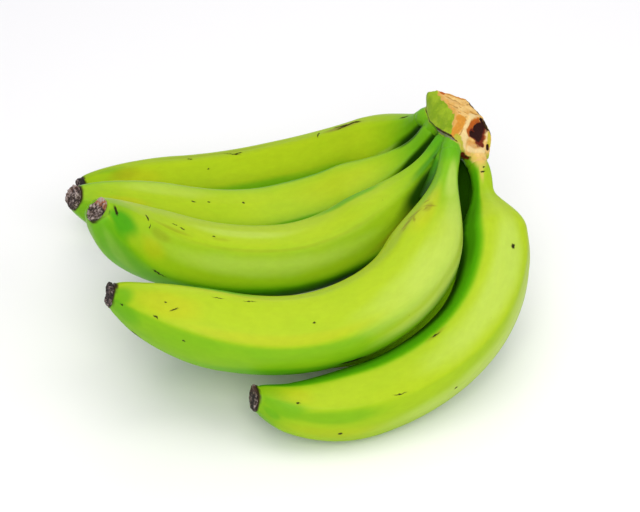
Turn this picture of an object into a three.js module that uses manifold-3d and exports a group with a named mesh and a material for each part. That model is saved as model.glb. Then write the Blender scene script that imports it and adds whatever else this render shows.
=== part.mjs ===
// A hand of six green cooking bananas, cut from its bunch with the crown left on.
// Each finger is a bent, five-ridged fruit on its own stalk. The stalks meet in the crown, and the far end
// of each finger carries the dried remnant of its flower. The hand lies on the backs of three fingers.
// Millimetres, +Z up, origin on the table under the middle of the hand, crown towards +X.
import * as THREE from "three";
import { ConvexGeometry } from "three/addons/geometries/ConvexGeometry.js";
import { mergeVertices } from "three/addons/utils/BufferGeometryUtils.js";
import Module from "manifold-3d";

// ---- Driving dimensions ----

const GAP = 0.3; // clearance between pieces that touch
const STALK_RADIUS = 5.2; // stalk where it leaves the crown
const TAPER_LENGTH = 54; // narrowing from the full body to the flower end
const TAPER_FULLNESS = 0.76; // below 1 the narrowing starts later and ends blunter
const END_RADIUS = 5.9; // fruit where the dried flower sits
const RIDGES = 5;
const RIDGE_HEIGHT = 0.035; // ridge above the mean radius, as a share of it
const RIDGE_SHARPNESS = 0.01; // second wave, which narrows the ridges and flattens the faces between them
const FINGER_SIDES = 25; // faces round a finger, a multiple of its ridges
const FINGER_RINGS = 30; // steps along a finger
const TABLE_LEVEL = 0.3; // table in the layout of the spines, just high enough to press the lowest backs flat
const SLAB_WIDTH = 400; // wider than the whole hand
const SLAB_DEPTH = 20;
const ROOT_REACH = 3; // how far a stalk's root runs straight back before it turns to the heart of the crown
const ROOT_STEPS = 5;
const ROOT_SEGMENTS = 8; // half the faces round a root
const CLEARED_LENGTH = 36; // stretch of each stalk that the crown is hollowed to clear
const CLEARED_RINGS = 6;
const FLOWER_SIDES = 15;
const WELD_DISTANCE = 1e-4; // points closer than this are one

// The dried flower remnant, a frayed cup round the style's scar, as radius and height above the finger's end.
const FLOWER_OUTLINE = [[0, 0], [5, 0], [5.6, 0.6], [5.2, 1.4], [5.3, 2.1], [4.2, 2.6], [2.2, 2], [0, 1.8]];

// Middle of the hand's footprint in the layout of the spines below.
const FOOTPRINT_MIDDLE = new THREE.Vector3(-15, -46, TABLE_LEVEL);

// Each finger by its full radius, the lengths of its even stalk and of the neck that swells from it, the
// angle of one ridge round the spine from the inside of the bend, and the five points that steer its spine
// from the crown to the flower end.
const FINGERS = [
  {
    radius: 18, stalk: 1, neck: 56, turn: 37,
    spine: [[53, 9, 83], [46, 35, 52], [-8, 43, 26.4], [-75, 45, 10], [-128, 26, 27]],
  },
  {
    radius: 18.3, stalk: 7, neck: 54, turn: -16,
    spine: [[57, -1, 83], [36, -1, 48], [-12, -7, 29], [-64, -21, 32], [-120, -46, 73]],
  },
  {
    radius: 17.7, stalk: 9, neck: 55, turn: 28,
    spine: [[63, -12, 84], [27, -44, 40], [-39, -65, 36], [-95, -65, 62], [-104, -82, 92]],
  },
  {
    radius: 18.4, stalk: 8, neck: 55, turn: 15,
    spine: [[64.8, -23, 84], [56, -79, 62], [26, -113, 46], [-36, -123.5, 42], [-96.2, -112, 65]],
  },
  {
    radius: 17.3, stalk: 14, neck: 28, turn: 32,
    spine: [[79, -19, 74], [94, -59, 54], [77, -119, 18], [-5, -142, 13.3], [-29, -139, 24.5]],
  },
  {
    radius: 17.0, stalk: 2, neck: 44, turn: 34,
    spine: [[76, -9.5, 70], [59, -43, 27], [33, -77, 11], [-7, -88, 19], [-78, -96, 33]],
  },
];

// Corners of the crown, the woody cushion that the stalks grow from, as the knife left it.
const CROWN_CORNERS = [
  [54, 13, 95], [54.5, 12.5, 97], [53.5, 6, 91], [55, -3, 89.5], [58, -9.5, 89.8], [65, -20, 92], [68, -11, 99],
  [59, 9, 100], [66, 12, 96], [74, 10, 94], [82, -3, 92], [76, -8, 95], [85, -4, 86], [86.5, -6, 83],
  [86.5, -8, 81], [85.5, -12, 78], [85, -14, 74], [74, -22, 81], [70, -22, 86], [68, -21, 82], [72, -18, 76],
  [60, 13, 85], [74, 12, 80], [82, 2, 73], [74, -3, 67], [60, 4, 77],
];

const CROWN_HEART = new THREE.Vector3(72, -2, 84); // where the roots of the stalks come together

// ---- Solids ----

const wasm = await Module();
wasm.setup();

function solid(geometry) {
  geometry.deleteAttribute("normal");
  geometry.deleteAttribute("uv");
  const merged = mergeVertices(geometry, WELD_DISTANCE);
  return new wasm.Manifold(
    new wasm.Mesh({
      numProp: 3,
      vertProperties: merged.attributes.position.array,
      triVerts: new Uint32Array(merged.index.array),
    }),
  );
}

function geometryOf(manifold) {
  const { vertProperties, triVerts } = manifold.getMesh();
  const geometry = new THREE.BufferGeometry();
  geometry.setAttribute("position", new THREE.BufferAttribute(vertProperties, 3));
  geometry.setIndex(new THREE.BufferAttribute(triVerts, 1));
  geometry.computeVertexNormals();
  return geometry;
}

function turned(outline, sides) {
  return new THREE.LatheGeometry(outline.map(([radius, height]) => new THREE.Vector2(radius, height)), sides);
}

// ---- Finger shape ----

// Two cubic curves that run smoothly into each other, steered by five points.
function spineCurve([start, neck, belly, waist, end]) {
  const early = neck.clone().lerp(belly, 0.5);
  const late = belly.clone().lerp(waist, 0.5);
  const middle = early.clone().lerp(late, 0.5);
  const curve = new THREE.CurvePath();
  curve.add(new THREE.CubicBezierCurve3(start, neck, early, middle));
  curve.add(new THREE.CubicBezierCurve3(middle, late, waist, end));
  return curve;
}

// The finger's mean radius at a distance along its spine.
function radiusAt(finger, distance) {
  const swelling = THREE.MathUtils.smoothstep(distance, finger.stalk, finger.stalk + finger.neck);
  const fromStalk = THREE.MathUtils.lerp(STALK_RADIUS, finger.radius, swelling);
  const left = THREE.MathUtils.clamp((finger.length - distance) / TAPER_LENGTH, 0, 1);
  const narrowing = Math.sin((left * Math.PI) / 2) ** TAPER_FULLNESS;
  const fromEnd = THREE.MathUtils.lerp(END_RADIUS, finger.radius, narrowing);
  return Math.min(fromStalk, fromEnd);
}

// How much the ridges lift the surface at an angle round the spine, as a share of the mean radius.
function ridgeAt(finger, angle) {
  const wave = RIDGES * (angle - THREE.MathUtils.degToRad(finger.turn));
  return RIDGE_HEIGHT * Math.cos(wave) + RIDGE_SHARPNESS * Math.cos(2 * wave);
}

// Bends a turned shape, whose +Y axis is distance along the spine, and raises its ridges. Past either end
// of the spine the shape runs straight on.
function bend(geometry, finger) {
  const position = geometry.attributes.position;
  for (let i = 0; i < position.count; i++) {
    const distance = position.getY(i);
    const share = THREE.MathUtils.clamp(distance / finger.length, 0, 1);
    const along = finger.curve.getTangentAt(share);
    const inside = finger.inside.clone().projectOnPlane(along).normalize();
    const beside = new THREE.Vector3().crossVectors(along, inside);
    const angle = Math.atan2(position.getX(i), position.getZ(i));
    const radius = Math.hypot(position.getX(i), position.getZ(i)) * (1 + ridgeAt(finger, angle));
    const point = finger.curve.getPointAt(share);
    point.addScaledVector(along, distance - share * finger.length);
    point.addScaledVector(inside, radius * Math.cos(angle));
    point.addScaledVector(beside, radius * Math.sin(angle));
    position.setXYZ(i, point.x, point.y, point.z);
  }
  return geometry;
}

// The finger between two distances along its spine, `grown` all round.
function fingerSolid(finger, from, to, grown, rings) {
  const outline = [[0, from]];
  for (let i = 0; i <= rings; i++) {
    const distance = THREE.MathUtils.lerp(from, to, i / rings);
    outline.push([radiusAt(finger, distance) + grown, distance]);
  }
  outline.push([0, to]);
  return solid(bend(turned(outline, FINGER_SIDES), finger));
}

// A slab whose top is the table.
function tableSlab() {
  const slab = new THREE.BoxGeometry(SLAB_WIDTH, SLAB_WIDTH, SLAB_DEPTH);
  slab.translate(0, 0, TABLE_LEVEL - SLAB_DEPTH / 2);
  return solid(slab);
}

// ---- Pieces ----

// A finger, pressed flat where it touches the table.
function fingerPiece(finger) {
  return fingerSolid(finger, 0, finger.length, 0, FINGER_RINGS).subtract(tableSlab());
}

function flowerPiece(finger) {
  const outline = FLOWER_OUTLINE.map(([radius, height]) => [radius, finger.length + GAP + height]);
  return solid(bend(turned(outline, FLOWER_SIDES), finger));
}

// The root of a stalk, which turns from the finger's first face to the heart of the crown.
function rootSolid(finger) {
  const back = finger.curve.getTangentAt(0).negate();
  const start = finger.curve.getPointAt(0);
  const elbow = start.clone().addScaledVector(back, ROOT_REACH);
  const section = new THREE.Shape().absarc(0, 0, STALK_RADIUS, 0, 2 * Math.PI);
  const extrudePath = new THREE.QuadraticBezierCurve3(start, elbow, CROWN_HEART);
  const options = { steps: ROOT_STEPS, curveSegments: ROOT_SEGMENTS, bevelEnabled: false, extrudePath };
  return solid(new THREE.ExtrudeGeometry(section, options));
}

// The crown joins the roots and is hollowed to clear the stalks that lie against it.
function crownPiece() {
  const corners = CROWN_CORNERS.map((corner) => new THREE.Vector3(...corner));
  let crown = solid(new ConvexGeometry(corners));
  for (const finger of FINGERS) crown = crown.add(rootSolid(finger));
  for (const finger of FINGERS) {
    crown = crown.subtract(fingerSolid(finger, -GAP, CLEARED_LENGTH, GAP, CLEARED_RINGS));
  }
  return crown;
}

// ---- The hand ----

const RIND = { color: 0x8fc52c, roughness: 0.45, metalness: 0 };
const CUT_WOOD = { color: 0xd9ad62, roughness: 0.85, metalness: 0 };
const DRIED_FLOWER = { color: 0x3a2f2b, roughness: 0.95, metalness: 0 };

const hand = new THREE.Group();
const layout = new THREE.Group();
layout.position.copy(FOOTPRINT_MIDDLE).negate();
hand.add(layout);

function addPiece(name, manifold, finish) {
  const mesh = new THREE.Mesh(geometryOf(manifold), new THREE.MeshStandardMaterial(finish));
  mesh.name = name;
  layout.add(mesh);
}

for (const finger of FINGERS) {
  const points = finger.spine.map((point) => new THREE.Vector3(...point));
  finger.curve = spineCurve(points);
  finger.length = finger.curve.getLength();
  const chordMiddle = points[0].clone().lerp(points[4], 0.5);
  finger.inside = chordMiddle.sub(finger.curve.getPointAt(0.5)).normalize();
}

addPiece("crown", crownPiece(), CUT_WOOD);
FINGERS.forEach((finger, index) => {
  addPiece(`finger_${index + 1}`, fingerPiece(finger), RIND);
  addPiece(`blossom_end_${index + 1}`, flowerPiece(finger), DRIED_FLOWER);
});

export default hand;
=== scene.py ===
"""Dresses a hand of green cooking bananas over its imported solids, and sets it in a pale studio."""

import math

import bmesh
import bpy
import numpy as np
from bpy.props import FloatProperty, FloatVectorProperty, IntProperty, PointerProperty
from bpy.types import Operator, Panel, PropertyGroup
from mathutils import Matrix, Vector, noise


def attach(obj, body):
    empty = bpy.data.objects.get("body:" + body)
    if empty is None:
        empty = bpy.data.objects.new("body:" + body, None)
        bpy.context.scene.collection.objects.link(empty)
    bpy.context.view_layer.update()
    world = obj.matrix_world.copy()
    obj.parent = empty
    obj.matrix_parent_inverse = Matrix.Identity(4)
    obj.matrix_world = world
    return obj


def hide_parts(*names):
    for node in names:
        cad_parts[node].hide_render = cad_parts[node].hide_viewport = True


bl_info = {
    "name": "Green Banana Hand",
    "version": (1, 0, 0),
    "blender": (4, 5, 0),
    "location": "3D View > Sidebar > Banana Hand",
    "description": "Builds the skins, crown and dried flowers of a hand of green cooking bananas",
    "category": "Add Mesh",
}

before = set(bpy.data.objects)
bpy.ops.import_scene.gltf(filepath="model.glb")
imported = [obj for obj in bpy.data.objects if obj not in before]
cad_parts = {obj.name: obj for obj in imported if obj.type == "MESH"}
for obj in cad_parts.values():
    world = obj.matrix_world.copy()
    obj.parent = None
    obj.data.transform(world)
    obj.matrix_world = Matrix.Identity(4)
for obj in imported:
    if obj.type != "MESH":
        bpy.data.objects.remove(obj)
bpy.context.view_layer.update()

MM = 0.001

# From the layout in which the spines and the crown are given to the part's own frame, in millimetres.
LAYOUT_SHIFT = np.array([15, 46, -0.3])

# The six fingers, from the back of the hand to the front, and the hidden one last. Lengths are in
# millimetres, angles in degrees round the spine from the inside of the bend, and distances run along the
# spine from the crown.
#   radius, stalk, neck  full radius, length of the even stalk, and length of the neck that swells from it
#   spine                the five points that steer the spine from the crown to the flower end
#   ridges, later        angles of the five ridges near the crown, and near the flower end where they differ
#   faces                how yellow the face after each ridge is, from 0 to 1, and below 0 it is deep green: partly the skin's own colour, partly painted light and shade
#   crisp, crisp_from    how flat its sides are, and the distances between which they become so
#   tone_from            distances between which its colours come to change sharply at the ridges
#   green_neck           how green its neck is, and the distances between which that fades
#   yellow_from          distances between which it becomes as yellow as its faces are
#   green_tip, shine     how green its tip is, and how much its wax shines
#   root                 how much thicker its root is inside the crown
#   end_lean, longer     lean of its end face inwards and sideways, and how far its skin runs past its solid
#   bends                small extra bends: where each starts, peaks and ends, and how far it goes
COMMON_FINGER = {
    "crisp": 0.2, "crisp_from": (20, 90), "tone_from": (20, 90), "yellow_from": (5, 50), "shine": 0.2,
    "root": 0.0, "end_lean": (0, 0), "longer": 0.0, "bends": (),
}
OWN_FINGERS = (
    {
        "radius": 18.0, "stalk": 1, "neck": 56,
        "spine": ((53, 9, 83), (46, 35, 52), (-8, 43, 26.4), (-75, 45, 10), (-128, 26, 27)),
        "ridges": (-116, -44, 28, 100, 172),
        "faces": (0.0, 0.95, 0.85, 0.3, 0.1), "green_neck": (0.3, 4, 30), "yellow_from": (0, 50),
        "green_tip": 0.25, "shine": 0.05,
    },
    {
        "radius": 18.3, "stalk": 7, "neck": 54,
        "spine": ((57, -1, 83), (36, -1, 48), (-12, -7, 29), (-64, -21, 32), (-120, -46, 73)),
        "ridges": (-118, -46, 26, 98, 170),
        "faces": (0.2, 0.95, 0.1, 0.2, 0.2), "green_neck": (0.3, 8, 26), "yellow_from": (5, 45),
        "green_tip": 0.35,
    },
    {
        "radius": 17.7, "stalk": 9, "neck": 55,
        "spine": ((63, -12, 84), (27, -44, 40), (-39, -65, 36), (-95, -65, 62), (-104, -82, 92)),
        "ridges": (-104, -46, 26, 98, 176), "later": (-114, -46, 26, 98, 176),
        "faces": (0.6, 0.95, 0.3, 0.2, -0.5), "crisp": 0.5, "crisp_from": (20, 70), "tone_from": (20, 70),
        "green_neck": (0.8, 4, 22), "green_tip": 0.4,
    },
    {
        "radius": 18.4, "stalk": 8, "neck": 55,
        "spine": ((64.8, -23, 84), (56, -79, 62), (26, -113, 46), (-36, -123.5, 42), (-96.2, -112, 65)),
        "ridges": (-132, -54, 18, 90, 162), "later": (-128, -54, 18, 90, 162),
        "faces": (1.0, 0.9, 0.3, 0.2, 0.1), "crisp": 1.0, "crisp_from": (60, 130), "tone_from": (60, 130),
        "green_neck": (0.6, 0, 9), "yellow_from": (10, 55), "green_tip": 0.1, "end_lean": (-13, -7),
        "longer": 0.8,
    },
    {
        "radius": 17.3, "stalk": 14, "neck": 28,
        "spine": ((79, -19, 74), (94, -59, 54), (77, -119, 18), (-5, -142, 13.3), (-29, -139, 24.5)),
        "ridges": (-134, -56, 25, 97, 165), "later": (-106, -60, 25, 97, 175),
        "faces": (1.0, -0.9, 0.0, 0.3, 0.7), "crisp": 1.0, "crisp_from": (60, 130), "tone_from": (-5, 14),
        "green_neck": (0.2, 14, 34), "yellow_from": (-3, 9), "green_tip": 0.5, "root": 0.9,
        "end_lean": (-23, 5), "longer": 1.7,
        "bends": ((2, 22, 55, (-2.6, 0, 0)), (60, 120, 185, (-1.2, 0.4, 0))),
    },
    {
        "radius": 17.0, "stalk": 2, "neck": 44,
        "spine": ((76, -9.5, 70), (59, -43, 27), (33, -77, 11), (-7, -88, 19), (-78, -96, 33)),
        "ridges": (-110, -38, 34, 106, 178),
        "faces": (0.2, 0.2, 0.1, 0.1, 0.1), "crisp": 0.6, "green_neck": (1.0, 14, 34), "green_tip": 0.6,
        "shine": 0.0, "root": 1.4,
    },
)
FINGERS = tuple({**COMMON_FINGER, "later": own["ridges"], **own} for own in OWN_FINGERS)
SPINE_STEPS = 400
# The ridges have their first angles this far from the crown, and their later ones that much farther on.
RIDGES_AT, RIDGES_OVER = 50, 150
# The skin starts this far inside the crown, so that it comes out of the stalk's root without a step.
SKIN_START = -3
# The skin isn't quite even: the size and height of its swellings and of its smaller waves.
SWELLING, WAVE = (14, 0.2), (5, 0.04)
# The skin this near below a finger gets painted shade, as measured from so many points along its spine.
FOLD_REACH, FOLD_STEPS = (1, 11), 60
# The length of the tip that leans with a finger's end face, and the least height of the skin.
LEANING_TIP, LOWEST_SKIN = 16, 0.02


# ---- Helpers ----


def linear(code):
    """An sRGB hex colour as linear red, green and blue."""
    parts = [int(code[i : i + 2], 16) / 255 for i in (1, 3, 5)]
    return tuple(c / 12.92 if c <= 0.04045 else ((c + 0.055) / 1.055) ** 2.4 for c in parts)


def colour_setting(name, description, default):
    """A colour that a user may change, with an sRGB hex colour as its default."""
    return FloatVectorProperty(name=name, description=description, subtype="COLOR", default=linear(default))


def per_metre(size):
    """The scale of a pattern whose features are that many millimetres wide."""
    return 1000 / size


def feed(node, inputs):
    """Gives a node its inputs, each a value or the output that feeds it."""
    for socket, value in inputs.items():
        if isinstance(value, bpy.types.NodeSocket):
            node.id_data.links.new(value, node.inputs[socket])
        else:
            node.inputs[socket].default_value = value


def add_node(tree, kind, inputs=None, **settings):
    """Adds a shader node with its settings and inputs."""
    made = tree.nodes.new("ShaderNode" + kind)
    for name, value in settings.items():
        setattr(made, name, value)
    feed(made, inputs or {})
    return made


def smooth(low, high, value):
    """0 below low and 1 above high, with a soft rise between them."""
    t = np.clip((value - low) / (high - low), 0, 1)
    return t * t * (3 - 2 * t)


def noise_at(points, size, seed=0.0):
    """Smooth noise from -1 to 1 with features about that many millimetres wide, at points in millimetres."""
    offset = Vector((seed, 1.7 * seed, -seed))
    return np.array([noise.noise(Vector(p) / size + offset) for p in points])


def new_material(name):
    """An empty material with its surface shader and output. Returns the material, its tree and the shader."""
    material = bpy.data.materials.new(name)
    material.use_nodes = True
    tree = material.node_tree
    tree.nodes.clear()
    surface = add_node(tree, "BsdfPrincipled")
    add_node(tree, "OutputMaterial", {"Surface": surface.outputs["BSDF"]})
    return material, tree, surface


def ring_faces(rings, around):
    """The faces of a closed skin over rings of points, with a flat face at each end."""
    faces = []
    for i in range(rings - 1):
        for j in range(around):
            k = (j + 1) % around
            faces.append((i * around + j, i * around + k, (i + 1) * around + k, (i + 1) * around + j))
    faces.append(tuple(range(around))[::-1])
    faces.append(tuple((rings - 1) * around + j for j in range(around)))
    return faces


def mesh_of(name, points, faces):
    """A mesh of points in millimetres."""
    mesh = bpy.data.meshes.new(name)
    mesh.from_pydata((np.asarray(points) * MM).tolist(), [], faces)
    return mesh


def new_piece(name, mesh, values, material, nodes):
    """A smooth piece that stands for CAD nodes, with named values at its points for its material to read."""
    mesh.shade_smooth()
    for key, value in values.items():
        value = np.asarray(value, np.float32)
        kind, field = ("FLOAT_VECTOR", "vector") if value.ndim == 2 else ("FLOAT", "value")
        mesh.attributes.new(key, kind, "POINT").data.foreach_set(field, value.ravel())
    mesh.materials.clear()
    mesh.materials.append(material)
    piece = bpy.data.objects.new(name, mesh)
    bpy.context.scene.collection.objects.link(piece)
    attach(piece, "root")
    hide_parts(*nodes)


# ---- Finger shape ----


def bezier(p0, p1, p2, p3, t):
    """Points of a cubic curve."""
    t = t[:, None]
    return (1 - t) ** 3 * p0 + 3 * (1 - t) ** 2 * t * p1 + 3 * (1 - t) * t**2 * p2 + t**3 * p3


class Spine:
    """The bent middle line of a finger, measured by distance from the crown in millimetres."""

    def __init__(self, finger):
        start, neck, belly, waist, end = (np.array(p) + LAYOUT_SHIFT for p in finger["spine"])
        early, late = (neck + belly) / 2, (belly + waist) / 2
        middle = (early + late) / 2
        t = np.linspace(0, 1, SPINE_STEPS)
        line = np.vstack([bezier(start, neck, early, middle, t), bezier(middle, late, waist, end, t)[1:]])
        steps = np.linalg.norm(np.diff(line, axis=0), axis=1)
        self.at = np.concatenate([[0], np.cumsum(steps)])
        self.length = self.at[-1]
        for start_at, peak, end_at, shift in finger["bends"]:
            rise = smooth(start_at, peak, self.at) * (1 - smooth(peak, end_at, self.at))
            line += rise[:, None] * np.array(shift)
        self.line = line
        slope = np.gradient(line, self.at, axis=0)
        self.slope = slope / np.linalg.norm(slope, axis=1)[:, None]
        centre = [np.interp(self.length / 2, self.at, line[:, k]) for k in range(3)]
        inside = (start + end) / 2 - np.array(centre)
        self.inside = inside / np.linalg.norm(inside)

    def frame_at(self, distance):
        """Point and forward, inward and sideways directions at distances. It runs straight past both ends."""
        held = np.clip(distance, 0, self.length)
        point = np.stack([np.interp(held, self.at, self.line[:, k]) for k in range(3)], 1)
        along = np.stack([np.interp(held, self.at, self.slope[:, k]) for k in range(3)], 1)
        along /= np.linalg.norm(along, axis=1)[:, None]
        point = point + along * (distance - held)[:, None]
        inside = self.inside - along * (along @ self.inside)[:, None]
        inside /= np.linalg.norm(inside, axis=1)[:, None]
        return point, along, inside, np.cross(along, inside)


def mean_radius(finger, length, distance, sizes):
    """A finger's mean radius at distances along its spine, in millimetres."""
    stalk, end = sizes.stalk_radius / MM, sizes.end_radius / MM
    full = finger["radius"]
    from_stalk = stalk + (full - stalk) * smooth(finger["stalk"], finger["stalk"] + finger["neck"], distance)
    left = np.clip((length - distance) / (sizes.taper_length / MM), 0, 1)
    from_end = end + (full - end) * np.sin(left * math.pi / 2) ** sizes.taper_fullness
    return np.minimum(from_stalk, from_end)


def ridge_place(finger, angle, distance):
    """Where an angle in degrees lies among the ridges, each of which is a whole number from 0 to 5."""
    early, late = (np.append(ridges, ridges[0] + 360) for ridges in (finger["ridges"], finger["later"]))
    ridges = early + (late - early) * ((distance - RIDGES_AT) / RIDGES_OVER)[:, None]
    turned = (angle - ridges[:, 0]) % 360 + ridges[:, 0]
    return sum(np.clip((turned - ridges[:, k]) / (ridges[:, k + 1] - ridges[:, k]), 0, 1) for k in range(5))


def ridge_lift(finger, place, distance, sizes):
    """How much the ridges lift the skin, as a share of its radius."""
    wave = 2 * math.pi * place
    rounded = sizes.ridge_height * np.cos(wave) + sizes.ridge_sharpness * np.cos(2 * wave)
    # A side of a pentagon rises from its middle as the secant of the angle from there, which is 1.09 on
    # average. The 0.002 rounds the middle off a little.
    from_middle = np.radians(360 / 5) * np.sqrt((place % 1 - 0.5) ** 2 + 0.002)
    flat_sided = (1 / np.cos(from_middle) - 1.09) * sizes.flatness
    return rounded + (flat_sided - rounded) * finger["crisp"] * smooth(*finger["crisp_from"], distance)


def face_tone(finger, place, distance):
    """How yellow the skin is, partly its own yellowing and partly painted light and shade on the faces. It
    changes across each ridge, and sharply on a crisp finger.
    """
    tones = np.array(finger["faces"])
    face = np.floor(place).astype(int) % 5
    after = place % 1
    width = 0.34 - 0.24 * finger["crisp"] * smooth(*finger["tone_from"], distance)
    rise = smooth(-width, width, after)
    fall = smooth(1 - width, 1 + width, after)
    here, before, following = tones[face], tones[(face - 1) % 5], tones[(face + 1) % 5]
    return before + (here - before) * rise + (following - here) * fall


class SizesOfFingers(PropertyGroup):
    """Sizes that all the fingers share."""

    stalk_radius: FloatProperty(
        name="Stalk radius", description="Stalk where it leaves the crown", default=0.0052, unit="LENGTH"
    )
    end_radius: FloatProperty(
        name="End radius", description="Fruit where the dried flower sits", default=0.0059, unit="LENGTH"
    )
    taper_length: FloatProperty(
        name="Taper length", description="Narrowing to the flower end", default=0.054, unit="LENGTH"
    )
    taper_fullness: FloatProperty(
        name="Taper fullness", description="Below 1 it narrows later", default=0.76, subtype="FACTOR"
    )
    ridge_height: FloatProperty(
        name="Ridge height", description="Above the mean radius, as a share", default=0.035, subtype="FACTOR"
    )
    ridge_sharpness: FloatProperty(
        name="Ridge sharpness", description="Wave that narrows the ridges", default=0.012, subtype="FACTOR"
    )
    flatness: FloatProperty(
        name="Flatness", description="How flat a crisp finger's sides are", default=0.24, subtype="FACTOR"
    )
    steps_along: IntProperty(name="Steps along", description="Rings of points along a finger", default=250)
    steps_round: IntProperty(name="Steps round", description="Points round each ring", default=144)


class ColoursOfRind(PropertyGroup):
    """Colours of the unripe skin, several of which also carry painted light and shade."""

    # Part the skin's yellowing, part painted light on the faces that the lamps light best.
    sunny: colour_setting(name="Sunny face", description="Faces that have begun to yellow", default="#a6bf18")
    # The plain green, which also stands for painted shade on the faces turned from the lamps.
    shaded: colour_setting(name="Shaded face", description="Faces that grew turned away", default="#77b00c")
    # The skin's own green on necks and tips, and painted shade in the creases below other fingers.
    deep: colour_setting(name="Deep green", description="Necks, tips and folds", default="#4d9f08")
    # Painted shade where the fingers hide each other, and on the hidden finger.
    dark: colour_setting(name="Darkest green", description="Skin hidden between fingers", default="#1f4501")
    ripe: colour_setting(name="Yellow patch", description="Patches that ripen first", default="#b6b80e")
    # Part wax bloom, part painted sheen and reflection of the lamps.
    pale: colour_setting(name="Wax bloom", description="Pale wax on the skin", default="#b9cf60")
    rubbed: colour_setting(name="Rubbed", description="Olive brown of rubbed skin", default="#857c0c")
    scar: colour_setting(name="Scar", description="Dried rubs and spots", default="#2b2608")
    bare: colour_setting(name="Bare flesh", description="Where the skin is torn off", default="#dcb660")
    scorched: colour_setting(name="Scorched rim", description="Round the dried flower", default="#33260f")


# Patches of tone on the skin of each finger: its colour, its middle in millimetres from the crown and in
# degrees round the spine, its length in millimetres, its breadth in degrees, and its strength from 0 to 1.
# The darkest patches are painted shade, the deep green ones partly so, the yellowest ones partly painted
# light, and the palest ones partly painted sheen.
PATCHES = (
    (
        ("dark", 10, -68, 50, 60, 1.0), ("deep", 120, -36, 150, 34, 0.7), ("sunny", 110, 10, 180, 70, 0.9),
        ("rubbed", 60, 42, 30, 20, 0.8), ("rubbed", 140, 50, 90, 14, 0.3), ("rubbed", 196, 20, 20, 40, 0.3),
        ("pale", 38, -44, 30, 16, 0.5), ("ripe", 190, 5, 40, 50, 0.4), ("deep", 205, 40, 20, 40, 0.4),
    ),
    (
        ("dark", 18, -74, 62, 58, 1.0), ("deep", 85, -52, 80, 18, 0.9), ("deep", 78, 40, 76, 34, 1.0),
        ("pale", 182, -44, 56, 14, 0.8), ("pale", 165, 12, 60, 30, 0.3), ("ripe", 192, -26, 30, 22, 0.6),
        ("dark", 10, 26, 24, 30, 0.8), ("ripe", 60, -10, 60, 50, 0.2),
    ),
    (
        ("dark", 22, -88, 54, 72, 1.0), ("dark", 70, -128, 84, 54, 1.0), ("dark", 104, -152, 70, 40, 0.4),
        ("rubbed", 45, -96, 44, 20, 0.8), ("deep", 130, -128, 90, 40, 0.6),
        ("deep", 207, -88, 26, 80, 1.0), ("pale", 120, -72, 130, 40, 0.35),
        ("pale", 196, -146, 40, 30, 0.4), ("ripe", 182, -84, 22, 40, 0.5),
        ("rubbed", 180, -58, 18, 20, 0.35), ("rubbed", 110, -46, 170, 6, 0.2),
        ("rubbed", 172, -38, 30, 8, 0.4), ("pale", 130, -12, 80, 24, 0.4), ("deep", 60, 18, 50, 24, 0.7),
        ("rubbed", 142, -30, 14, 8, 0.3), ("deep", 10, -42, 34, 50, 0.9), ("dark", 12, -44, 44, 50, 0.3),
    ),
    (
        ("sunny", 60, -150, 110, 44, 1.0), ("ripe", 200, -96, 40, 60, 0.55), ("deep", 224, -105, 16, 90, 0.7),
        ("pale", 66, -165, 90, 44, 0.7), ("deep", 218, -150, 22, 60, 0.4), ("pale", 66, -120, 100, 80, 0.6),
        ("ripe", 42, -60, 40, 40, 0.5), ("rubbed", 42, -62, 9, 16, 0.5), ("rubbed", 54, -42, 22, 14, 0.5),
        ("deep", 145, 172, 100, 34, 0.7), ("dark", 24, -152, 24, 36, 0.8), ("deep", 178, -36, 46, 24, 1.0),
        ("ripe", 150, -120, 110, 20, 0.4), ("ripe", 170, -52, 60, 12, 0.3), ("pale", 20, -104, 30, 60, 0.6),
    ),
    (
        ("sunny", 50, -140, 80, 60, 0.8), ("dark", 100, -14, 150, 44, 0.9), ("dark", 46, -34, 50, 26, 0.35),
        ("dark", 30, 16, 50, 44, 0.6), ("deep", 22, -10, 60, 60, 0.8), ("pale", 100, -165, 130, 50, 0.6),
        ("pale", 75, -98, 120, 60, 0.55), ("deep", 178, -128, 60, 28, 0.45), ("rubbed", 112, -61, 14, 5, 0.5),
        ("ripe", 196, -84, 30, 50, 0.5), ("deep", 204, -152, 14, 44, 0.7), ("deep", 200, -122, 30, 60, 0.6),
        ("bare", -1, -90, 14, 110, 0.9), ("bare", 5, -76, 18, 30, 0.6), ("ripe", 175, -160, 50, 30, 0.3),
    ),
    # The hidden finger is painted nearly black all round, as shade.
    (("dark", 20, -30, 110, 380, 1.0), ("dark", 90, 40, 120, 60, 0.5)),
)
PATCH_COLOURS = ("sunny", "deep", "dark", "ripe", "pale", "rubbed", "bare")
# The order in which the colours are laid over the shaded green.
RIND_LAYERS = ("sunny", "pale", "ripe", "deep", "rubbed", "dark", "bare", "scorched")

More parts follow.
